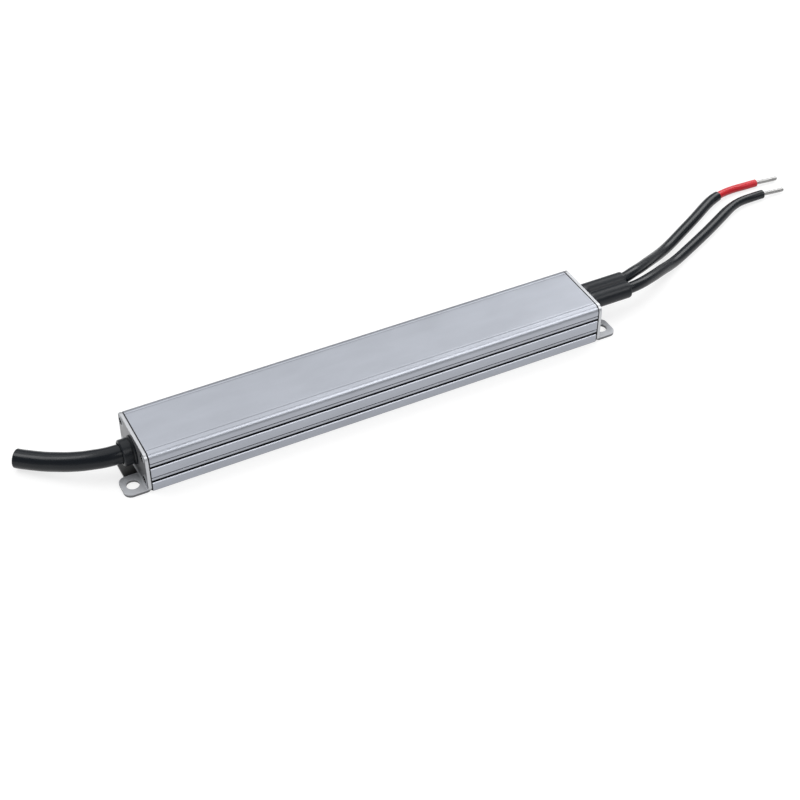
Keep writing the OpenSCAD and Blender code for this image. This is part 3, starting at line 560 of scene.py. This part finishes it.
# %% Finish
class Finish:
    """A material with one Principled shader, whose plain values are given by socket name."""

    def __init__(self, name, **values):
        self.material = bpy.data.materials.new(name)
        self.material.use_nodes = True
        self.tree = self.material.node_tree
        self.shader = self.tree.nodes["Principled BSDF"]
        self.set(**values)

    def feed(self, socket, value):
        """Links a field to a socket, or sets the socket to a plain value."""
        if isinstance(value, Field):
            self.tree.links.new(value.socket, socket)
        else:
            socket.default_value = value

    def set(self, **values):
        """Feeds sockets of the shader by their names."""
        for name, value in values.items():
            self.feed(self.shader.inputs[name.replace("_", " ")], value)

    def node(self, kind, settings=None, inputs=None, output=0):
        """Adds a node: its settings first, then its inputs. Gives back one of its outputs."""
        made = self.tree.nodes.new(kind)
        for name, value in (settings or {}).items():
            setattr(made, name, value)
        for name, value in (inputs or {}).items():
            self.feed(made.inputs[name], value)
        return Field(self, made.outputs[output])

    def place(self):
        """The point on the object, in its own coordinates."""
        return self.node("ShaderNodeTexCoord", output="Object")

    def axes(self, where):
        """X, Y and Z of a place as three numbers."""
        return [self.node("ShaderNodeSeparateXYZ", {}, {"Vector": where}, output=axis) for axis in "XYZ"]

    def noise(self, where, scale, detail):
        """Noise from 0 to 1 with its own number of cycles a metre along each axis."""
        stretched = self.node("ShaderNodeMapping", {}, {"Vector": where, "Scale": scale})
        return self.node("ShaderNodeTexNoise", {}, {"Vector": stretched, "Scale": 1.0, "Detail": detail})

    def between(self, low, high, share):
        """Colour between two colours by that share."""
        ends = [colour if isinstance(colour, Field) else (*colour, 1) for colour in (low, high)]
        return self.node(
            "ShaderNodeMix", {"data_type": "RGBA"}, {0: share, 6: ends[0], 7: ends[1]}, output=2)

    def shades(self, colour, dark, light, share):
        """Colour that goes by that share from its dark shade to its light one, each given as a factor."""
        colour = np.array(colour)
        return self.between(tuple(colour * dark), tuple(colour * light), share)

    def slope(self, value, low, high):
        """0 below low, 1 above high and a straight slope between."""
        return self.node("ShaderNodeMapRange", {}, {"Value": value, "From Min": low, "From Max": high})

    def bump(self, height, depth, edge=0.0):
        """Relief from a height, over normals that round each sharp edge by that radius."""
        inputs = {"Height": height, "Distance": depth}
        if edge:
            inputs["Normal"] = self.node("ShaderNodeBevel", {"samples": 4}, {"Radius": edge})
        return self.node("ShaderNodeBump", {}, inputs)


print("a finish has", [name for name in vars(Finish) if "__" not in name])

# %% [markdown]
# ## Aluminium
# The tube is drawn through a die, blasted and clear anodised: a satin metal with fine die lines along its
# length, a soft grain and slow patches of tone. Noise that is stretched along one axis makes such lines,
# and they change the gloss more than the colour.

# %% Satin metal
GRAIN, PATCHES = (2600, 2600, 2600), (45, 130, 130)
dressed = set()


def satin(finish, where, tone, rough, lines):
    """Colour, roughness and relief of a blasted metal whose tool lines have that many cycles a metre along
    X, Y and Z: the lines and a fine grain change gloss and relief, slow patches change colour and gloss."""
    drawn = finish.noise(where, lines, detail=3)
    grain = finish.noise(where, GRAIN, detail=2)
    patch = finish.noise(where, PATCHES, detail=3)
    roughness = rough + drawn.swing(0.10) + patch.swing(0.10) + grain.swing(0.05)
    colour = finish.shades(tone, dark=0.88, light=1.12, share=patch)
    return colour, roughness, 0.6 * drawn + 0.4 * grain


def wear(pieces, material):
    """Gives each object that one material and notes the object's name."""
    for piece in pieces:
        piece.data.materials.clear()
        piece.data.materials.append(material)
        dressed.add(piece.name)
    print(material.name, "on", [piece.name for piece in pieces])


print("grain of about", round(1 / GRAIN[0] / MM, 2), "mm")

# %% [markdown]
# Two finer lines run along each long edge of the tube's roof. The bottom of the side slots and the edge of
# the base are darkened as painted shade. All of these are functions of the place.

# %% Drawn tube
TUBE_TONE = np.array((0.373, 0.391, 0.433))
TUBE_ROUGH, DIE_LINES, DIE_DEPTH = 0.38, (14, 1500, 1500), 0.012 * MM
SLOT_PAINTED_SHADE, BASE_PAINTED_SHADE = 0.12, 0.4
SIDE_Y = 15 * MM
EDGE_ROUND = 0.12 * MM
SLOT_LOW, SLOT_HIGH, SLOT_DEEPEST = 3.6 * MM, 14.4 * MM, 1.5 * MM
SLOT_FADE, BASE_FADE = (0.2 * MM, 0.5 * MM), (0.25 * MM, 0.6 * MM)
ROOF_LINES, ROOF_LINE_W = ((11.4 * MM, 5), (12.9 * MM, 4)), 0.3 * MM


def anodised_tube():
    """Drawn tube: painted shade in the side slots and at the base, two fine lines along each long roof
    edge.
    """
    finish = Finish("anodised_tube", Metallic=1.0)
    where = finish.place()
    colour, roughness, relief = satin(finish, where, TUBE_TONE, TUBE_ROUGH, DIE_LINES)
    _, y, z = finish.axes(where)
    out = y.size()
    in_slot = finish.slope(SIDE_Y - out, *SLOT_FADE) * (out > SIDE_Y - SLOT_DEEPEST)
    in_slot = in_slot * (z > SLOT_LOW) * (z < SLOT_HIGH)
    # Painted shade: darker at the bottom of the side slots and along the edge of the base.
    colour = finish.between(colour, tuple(TUBE_TONE * SLOT_PAINTED_SHADE), in_slot)
    colour = finish.between(tuple(TUBE_TONE * BASE_PAINTED_SHADE), colour, finish.slope(z, *BASE_FADE))
    for line_y, weight in ROOF_LINES:
        relief = relief - weight * out.bell(line_y, ROOF_LINE_W)
    finish.set(Base_Color=colour, Roughness=roughness, Normal=finish.bump(relief, DIE_DEPTH, EDGE_ROUND))
    return finish.material


wear([nodes["housing_extrusion"]], anodised_tube())

# %% [markdown]
# The end plates are sheet metal. Their upright faces have a duller coat than the tube, darkened as painted
# shade. Their cut rims are bare and kept bright as a painted highlight, which draws a light line round each
# end. The rim is found with the distance formula of a rounded rectangle. The cut sides of the foot are
# darkened as painted shade, and behind the ear the ledge is painted near black as a painted shadow.

# %% Sheet metal
SHEET_TONE = np.array((0.50, 0.513, 0.54))
BARE_RIM_HIGHLIGHT_TONE = (0.50, 0.51, 0.53)
LEDGE_SHADOW_TONE = (0.012, 0.013, 0.014)
SHEET_ROUGH, ROLL_LINES, ROLL_DEPTH = 0.36, (1200, 30, 1200), 0.010 * MM
FACE_PAINTED_SHADE, FOOT_SIDE_PAINTED_SHADE = 0.3, 0.25
COAT_METAL = 0.25
TOP_R, TOP_Z = 3 * MM, 18 * MM
RIM_W, RIM_FADE = 0.3 * MM, 0.15 * MM
FOOT_T, FOOT_SIDE_SHADE_FADE = 1.2 * MM, (0.8 * MM, 1.1 * MM)
LEDGE_SHADOW_FRONT, LEDGE_SHADOW_TOP, LEDGE_SHADOW_INNER = -3.7 * MM, FOOT_T + 0.2 * MM, (PLATE_X + 0.5) * MM


def anodised_sheet():
    """Cut sheet: dull coat, painted shade, and a painted highlight on the bare rim along the outline."""
    finish = Finish("anodised_sheet")
    where = finish.place()
    colour, roughness, relief = satin(finish, where, SHEET_TONE, SHEET_ROUGH, ROLL_LINES)
    x, y, z = finish.axes(where)
    over_y = (y.size() - (SIDE_Y - TOP_R)).at_least(0)
    over_z = (z - (TOP_Z - TOP_R)).at_least(0)
    inner_r = TOP_R - RIM_W
    rim = finish.slope(over_y * over_y + over_z * over_z, (inner_r - RIM_FADE) ** 2, inner_r ** 2)
    # Painted shadow: the ledge behind the ear is near black.
    ledge_shadow = (y > LEDGE_SHADOW_FRONT) * (z < LEDGE_SHADOW_TOP) * (x.size() > LEDGE_SHADOW_INNER)
    # Painted shade on the upright face and on the cut sides of the foot.
    colour = finish.between(colour, tuple(SHEET_TONE * FACE_PAINTED_SHADE), finish.slope(z, FOOT_T, 2 * FOOT_T))
    colour = finish.between(tuple(SHEET_TONE * FOOT_SIDE_PAINTED_SHADE), colour, finish.slope(z, *FOOT_SIDE_SHADE_FADE))
    # The bare rim is kept bright as a painted highlight, and the ledge takes its painted shadow.
    colour = finish.between(finish.between(colour, BARE_RIM_HIGHLIGHT_TONE, rim), LEDGE_SHADOW_TONE, ledge_shadow)
    finish.set(
        Base_Color=colour, Metallic=(COAT_METAL + (1 - COAT_METAL) * rim) * (1 - ledge_shadow),
        Roughness=roughness, Normal=finish.bump(relief, ROLL_DEPTH, 2 * EDGE_ROUND))
    return finish.material


wear([nodes["input_end_plate"], nodes["output_end_plate"]], anodised_sheet())

# %% [markdown]
# ## Rubber
# Soft black rubber still has a surface. The mouldings have a fine matte grain from their mould, and their
# gloss changes slowly from place to place. A plain black would look like a hole in the picture.

# %% Rubber
SKIN_SPECULAR = 0.28
RUBBER_PATCHES = (160, 160, 160)


def rubber(name, colour, rough, grain_scale, depth):
    """Moulded rubber: a fine grain in the relief and slow patches in the gloss."""
    finish = Finish(name, Specular_IOR_Level=SKIN_SPECULAR)
    where = finish.place()
    grain = finish.noise(where, (grain_scale,) * 3, detail=3)
    patch = finish.noise(where, RUBBER_PATCHES, detail=2)
    finish.set(
        Base_Color=finish.shades(colour, dark=0.8, light=1.25, share=patch),
        Roughness=rough + patch.swing(0.12), Normal=finish.bump(grain, depth))
    return finish.material


wear([nodes["input_gland"], output_boot],
     rubber("moulded_rubber", (0.0044, 0.0065, 0.0098), rough=0.35, grain_scale=2200, depth=0.006 * MM))
wear([nodes["input_gasket"], nodes["output_gasket"]],
     rubber("gasket_foam", (0.018, 0.018, 0.02), rough=0.8, grain_scale=1500, depth=0.03 * MM))

# %% [markdown]
# Sheaths and insulation are extruded: a smoother skin, with faint lines along the lead from the extruder.
# The leads read their own UV map, so that the lines follow every bend.

# %% Sheaths and insulation
SKIN_LINES, SKIN_GRAIN, SKIN_PATCHES = (25, 46, 1), (3000, 3000, 3000), (120, 120, 120)


def extruded(name, colour, rough, depth):
    """Extruded skin: lines along the lead, a fine grain and a slow change of gloss."""
    finish = Finish(name, Specular_IOR_Level=SKIN_SPECULAR)
    lines = finish.noise(finish.node("ShaderNodeTexCoord", output="UV"), SKIN_LINES, detail=3)
    grain = finish.noise(finish.place(), SKIN_GRAIN, detail=2)
    patch = finish.noise(finish.place(), SKIN_PATCHES, detail=2)
    finish.set(
        Base_Color=finish.shades(colour, dark=0.85, light=1.15, share=patch),
        Roughness=rough + lines.swing(0.10) + patch.swing(0.10),
        Normal=finish.bump(0.7 * lines + 0.3 * grain, depth))
    return finish.material


CORE_COLOURS = {
    "line_core": ("core_brown", (0.16, 0.07, 0.03)),
    "neutral_core": ("core_blue", (0.02, 0.08, 0.35)),
    "earth_core": ("core_green", (0.16, 0.36, 0.03))}
wear([mains_cable, positive_jacket, negative_jacket, black_core, nodes["negative_board_lead"]],
     extruded("cable_sheath", (0.0034, 0.0056, 0.0088), rough=0.26, depth=0.008 * MM))
wear([red_core, nodes["positive_board_lead"]],
     extruded("red_insulation", (0.52, 0.015, 0.025), rough=0.30, depth=0.008 * MM))
for piece, (node, (name, colour)) in zip(cut_cores, CORE_COLOURS.items()):
    wear([piece, nodes[node]], extruded(name, colour, rough=0.36, depth=0.006 * MM))

# %% [markdown]
# ## Bright metal
# The bare wire ends carry solder, and copper shows only in the cut face of the cable. Small dull spots in a
# shallow relief keep such metal from looking like a perfect mirror.

# %% Solder and copper
def hammered(finish, where, colour, rough, scale):
    """Colour, roughness and height of plated or dipped metal: small dull spots in a shallow relief."""
    spots = finish.noise(where, (scale,) * 3, detail=3)
    tone = finish.shades(colour, dark=0.85, light=1.1, share=spots)
    return tone, rough + spots.swing(0.2), spots


def plated(name, colour, rough, scale, depth):
    """Plated or dipped metal with nothing else on it."""
    finish = Finish(name, Metallic=1.0)
    tone, roughness, height = hammered(finish, finish.place(), colour, rough, scale)
    finish.set(Base_Color=tone, Roughness=roughness, Normal=finish.bump(height, depth))
    return finish.material


wear([positive_tip, negative_tip],
     plated("solder", (0.31, 0.308, 0.306), rough=0.33, scale=160, depth=0.001 * MM))
wear(cut_strands, plated("copper", (0.72, 0.30, 0.16), rough=0.3, scale=3000, depth=0.01 * MM))

# %% [markdown]
# The screws are zinc plated steel. Each driver recess is darkened as painted shade, with a painted
# highlight in its middle. Each recess could be a mesh of its own, but it is only a few pixels wide, so the
# finish draws it: the four screws lie alike on both sides of the plate's middle lines, so two absolute
# values fold them onto one, and the distance from its middle does the rest.

# %% Screws
SCREW_Y = 11.6 * MM
SCREW_MIDDLE_Z, SCREW_OFF_Z = 9.6 * MM, 5.4 * MM
SCREW_RECESS_SHADE, SCREW_PAINTED_GLINT = (0.012, 0.012, 0.014), (0.85, 0.85, 0.86)
RECESS_R, GLINT_R = (1.35 * MM, 1.65 * MM), (0.5 * MM, 0.65 * MM)
RECESS_ROUGH = 0.85


def screw_zinc():
    """Screw head: painted shade and highlight, by the squared distance from the nearest screw's middle."""
    finish = Finish("zinc_screw", Metallic=1.0)
    where = finish.place()
    tone, roughness, height = hammered(finish, where, (0.27, 0.28, 0.295), rough=0.32, scale=1800)
    _, y, z = finish.axes(where)
    off_y = y.size() - SCREW_Y
    off_z = (z - SCREW_MIDDLE_Z).size() - SCREW_OFF_Z
    off = off_y * off_y + off_z * off_z
    beyond_recess, beyond_glint = (
        finish.slope(off, inner ** 2, outer ** 2) for inner, outer in (RECESS_R, GLINT_R))
    # Painted shade over each recess, with a painted highlight in its middle.
    tone = finish.between(SCREW_PAINTED_GLINT, finish.between(SCREW_RECESS_SHADE, tone, beyond_recess), beyond_glint)
    finish.set(
        Base_Color=tone, Roughness=roughness * beyond_recess + RECESS_ROUGH * (1 - beyond_recess),
        Normal=finish.bump(height, 0.01 * MM))
    return finish.material


wear([nodes["input_plate_screws"], nodes["output_plate_screws"]], screw_zinc())

# %% [markdown]
# ## What is sealed inside
# The board and its parts are hidden while the housing is closed, but they are in the model, so each gets a
# moulded or plated finish in the colour that the record gives its slot.

# %% Inner finishes
METAL_CLASSES = ("brass", "cast_iron")
record = frame["record"]
slot_of = {part["node"]: part["material_slot"] for part in record["subparts"]}
for entry in record["materials"]:
    left = [node for name, node in nodes.items() if name not in dressed and slot_of[name] == entry["slot"]]
    finish_name, colour = "inner_" + entry["slot"], entry["base_color"][:3]
    if left and entry["class"] in METAL_CLASSES:
        wear(left, plated(finish_name, colour, rough=0.45, scale=900, depth=0.02 * MM))
    elif left:
        wear(left, rubber(finish_name, colour, rough=0.5, grain_scale=1400, depth=0.01 * MM))

# %% [markdown]
# ## The table
# The driver lies on a plain white table, which is one large square just under it. A curved backdrop isn't
# needed, because the camera looks down and never sees the table's far edge.

# %% Table
FLOOR_HALF, FLOOR_Z = 4.0, -0.05 * MM
corners = np.array([(-1, -1, 0), (1, -1, 0), (1, 1, 0), (-1, 1, 0)]) * FLOOR_HALF + (0, 0, FLOOR_Z)
floor_mesh = bpy.data.meshes.new("floor")
floor_mesh.from_pydata(corners.tolist(), [], [(0, 1, 2, 3)])
floor = bpy.data.objects.new("floor", floor_mesh)
bpy.context.scene.collection.objects.link(floor)
print("table of", 2 * FLOOR_HALF, "m")

# %% [markdown]
# Camera and mirror rays see the table almost white, with the object's soft shadow kept, while other rays
# see an ordinary pale surface, so that it doesn't light the object from below more than a real table
# would. A mix of two finishes does that, and the kind of ray chooses between them.

# %% Finish of the table
PALE, SHADOW_PALE, GLOW = 0.55, 0.30, 0.73


def seen(tree):
    """Socket that is 1 for camera, mirror and see-through rays."""
    rays = tree.nodes.new("ShaderNodeLightPath")
    first = tree.nodes.new("ShaderNodeMath")
    second = tree.nodes.new("ShaderNodeMath")
    first.operation = second.operation = "MAXIMUM"
    tree.links.new(rays.outputs["Is Camera Ray"], first.inputs[0])
    tree.links.new(rays.outputs["Is Glossy Ray"], first.inputs[1])
    tree.links.new(first.outputs[0], second.inputs[0])
    tree.links.new(rays.outputs["Is Transmission Ray"], second.inputs[1])
    return second.outputs[0]


table = bpy.data.materials.new("table")
table.use_nodes = True
tree = table.node_tree
tree.nodes.clear()
output = tree.nodes.new("ShaderNodeOutputMaterial")
mix = tree.nodes.new("ShaderNodeMixShader")
plain_white = tree.nodes.new("ShaderNodeBsdfDiffuse")
plain_white.inputs["Color"].default_value = (PALE, PALE, PALE, 1)
shadow_keeper = tree.nodes.new("ShaderNodeBsdfDiffuse")
shadow_keeper.inputs["Color"].default_value = (SHADOW_PALE, SHADOW_PALE, SHADOW_PALE, 1)
glow = tree.nodes.new("ShaderNodeEmission")
glow.inputs["Strength"].default_value = GLOW
both = tree.nodes.new("ShaderNodeAddShader")
tree.links.new(shadow_keeper.outputs[0], both.inputs[0])
tree.links.new(glow.outputs[0], both.inputs[1])
tree.links.new(seen(tree), mix.inputs[0])
tree.links.new(plain_white.outputs[0], mix.inputs[1])
tree.links.new(both.outputs[0], mix.inputs[2])
tree.links.new(mix.outputs[0], output.inputs["Surface"])
floor_mesh.materials.append(table)
print("table finish of", len(tree.nodes), "nodes")

# %% [markdown]
# ## Light
# A wide soft ceiling gives the roof its even tone and the leads their long highlights, two smaller lamps
# make those stronger, and a low wide lamp at the front draws the bright line along the edge. Each place
# comes from mirroring the line of sight in the surface that shows the highlight.

# %% Lamps
def lamp(name, place, aim, width, height, power):
    """Oblong soft lamp at a place, facing a point, with its width level."""
    data = bpy.data.lights.new(name, "AREA")
    data.shape = "RECTANGLE"
    data.size, data.size_y = width, height
    data.energy = power
    made = bpy.data.objects.new(name, data)
    direction = Vector(place) - Vector(aim)
    made.matrix_world = Matrix.Translation(place) @ direction.to_track_quat("Z", "Y").to_matrix().to_4x4()
    bpy.context.scene.collection.objects.link(made)
    print(name, "of", power, "W")


lamp("ceiling_softbox", (0.2, 0.8, 1.2), aim=(0.2, 0.8, 0), width=2.2, height=2.2, power=17.2)
lamp("right_softbox", (0.93, 0.40, 0.70), aim=(0.1, 0, 0), width=0.6, height=0.6, power=4.6)
lamp("left_softbox", (-0.66, 0.40, 0.89), aim=(-0.1, 0, 0), width=0.5, height=0.5, power=3.4)
lamp("key_softbox", (0.44, -0.82, 0.92), aim=(0, 0, 0), width=1.1, height=0.5, power=6.2)

# %% [markdown]
# The room round the table is a grey studio, paler at the horizon. Its strength is a slope over the height
# of the direction that a ray goes in, so that no picture of a room is needed.

# %% World
ROOM_SLOPE = {"From Min": 0.05, "From Max": 0.6, "To Min": 0.45, "To Max": 0.30}
ROOM_TINT = (0.985, 0.99, 1, 1)
world = bpy.data.worlds.new("studio")
bpy.context.scene.world = world
world.use_nodes = True
world_tree = world.node_tree
facing = world_tree.nodes.new("ShaderNodeTexCoord")
axes = world_tree.nodes.new("ShaderNodeSeparateXYZ")
sweep = world_tree.nodes.new("ShaderNodeMapRange")
for name, value in ROOM_SLOPE.items():
    sweep.inputs[name].default_value = value
backdrop = world_tree.nodes["Background"]
backdrop.inputs["Color"].default_value = ROOM_TINT
world_tree.links.new(facing.outputs["Generated"], axes.inputs["Vector"])
world_tree.links.new(axes.outputs["Z"], sweep.inputs["Value"])
world_tree.links.new(sweep.outputs["Result"], backdrop.inputs["Strength"])
bpy.context.scene.view_settings.view_transform = "Standard"
print("room from", ROOM_SLOPE["To Min"], "at the horizon to", ROOM_SLOPE["To Max"], "overhead")
